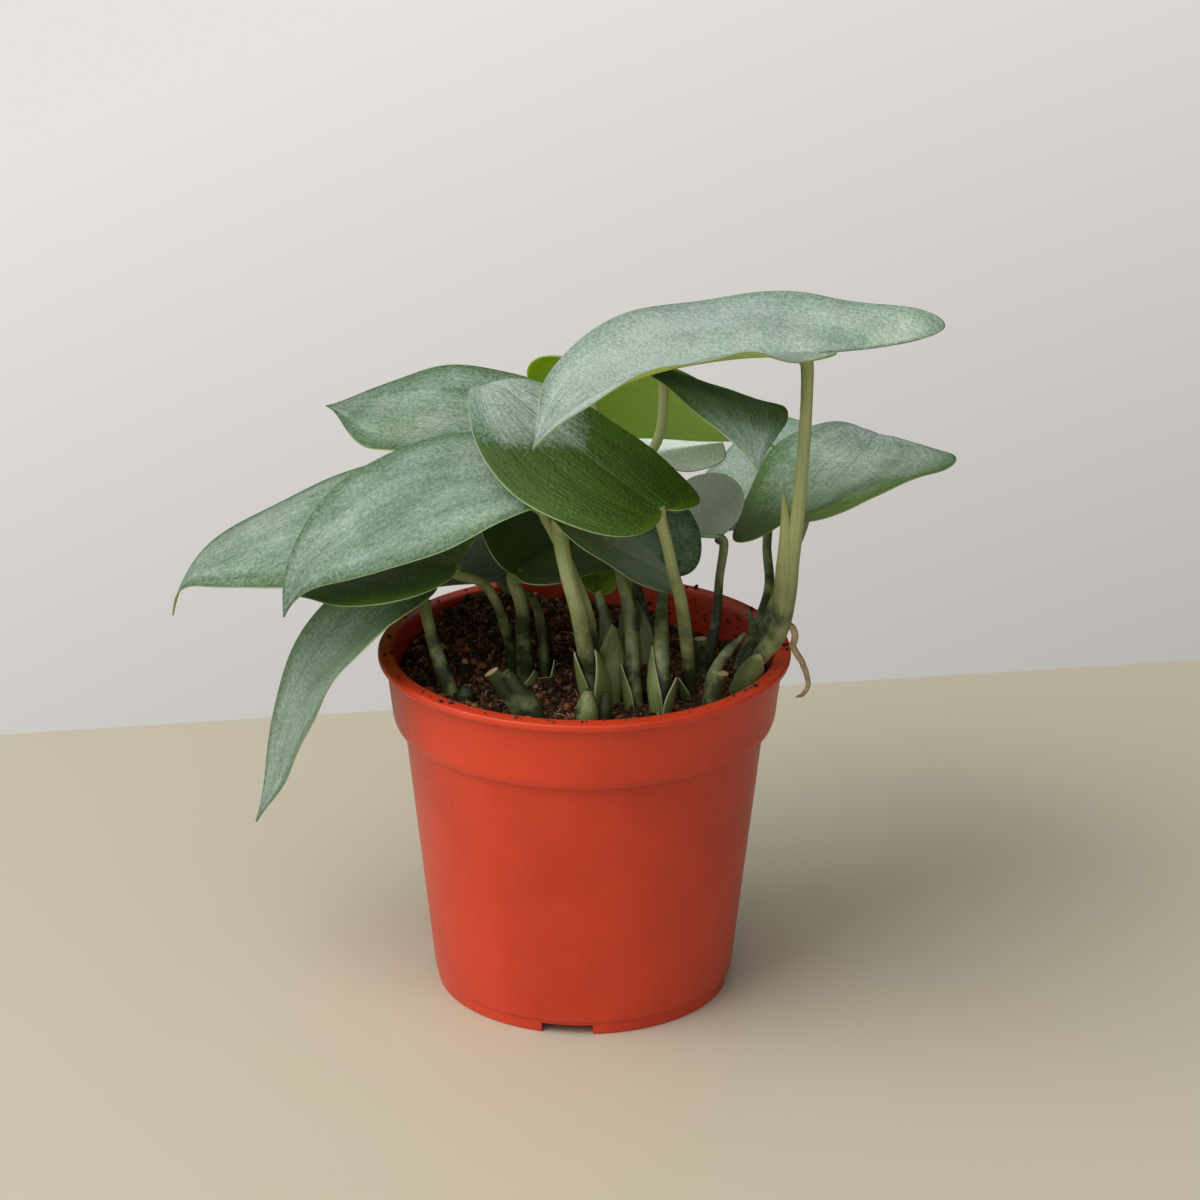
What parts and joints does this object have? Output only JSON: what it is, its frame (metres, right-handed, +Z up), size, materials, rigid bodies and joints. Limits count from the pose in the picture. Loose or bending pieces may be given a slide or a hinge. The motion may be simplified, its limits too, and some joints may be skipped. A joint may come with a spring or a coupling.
{
  "type": "potted platinum java scindapsus",
  "caption": "Young scindapsus with matte silver-green heart-shaped leaves on upright stalks, growing in a plain terracotta-red plastic nursery pot filled with dark peaty soil.",
  "frame": {"origin": "middle of the pot's bottom, on the plane that the pot stands on", "axes": "+Z up, +X to the right and -Y to the front, seen as in the picture"},
  "size_m": [0.2326, 0.2152, 0.2149],
  "materials": {
    "terracotta_plastic": "moulded terracotta-red plastic, satin, fine crumbs of soil at the rim",
    "soil": "dark brown peat and coir, matte, coarse and fibrous",
    "silver_leaf": "matte silver-green leaf with fine pale and dark streaks, pale margins and yellow-green underside",
    "green_stalk": "smooth satin green stalk, darker at the foot",
    "tan_root": "matte tan aerial root"
  },
  "bodies": {
    "root": {"pot": "terracotta_plastic", "soil": "soil", "crown_leaf": "silver_leaf", "folded_leaf": "silver_leaf", "arched_leaf": "silver_leaf", "centre_leaf": "silver_leaf", "near_left_leaf": "silver_leaf", "high_left_leaf": "silver_leaf", "under_leaf": "silver_leaf", "hanging_leaf": "silver_leaf", "far_left_leaf": "silver_leaf", "tongue_leaf": "silver_leaf", "low_leaf": "silver_leaf", "dark_leaf": "silver_leaf", "grey_leaf": "silver_leaf", "round_leaf": "silver_leaf", "pale_leaf": "silver_leaf", "back_leaf": "silver_leaf", "right_leaf": "silver_leaf", "young_leaf": "silver_leaf", "crown_stalk": "green_stalk", "folded_stalk": "green_stalk", "arched_stalk": "green_stalk", "centre_stalk": "green_stalk", "near_left_stalk": "green_stalk", "high_left_stalk": "green_stalk", "under_stalk": "green_stalk", "hanging_stalk": "green_stalk", "far_left_stalk": "green_stalk", "tongue_stalk": "green_stalk", "low_stalk": "green_stalk", "dark_stalk": "green_stalk", "grey_stalk": "green_stalk", "round_stalk": "green_stalk", "pale_stalk": "green_stalk", "back_stalk": "green_stalk", "right_stalk": "green_stalk", "young_stalk": "green_stalk", "front_stub": "green_stalk", "left_stub": "green_stalk", "back_stub": "green_stalk", "right_stub": "green_stalk", "crown_scale": "green_stalk", "front_bud": "green_stalk", "aerial_root": "tan_root"}
  },
  "joints": []
}
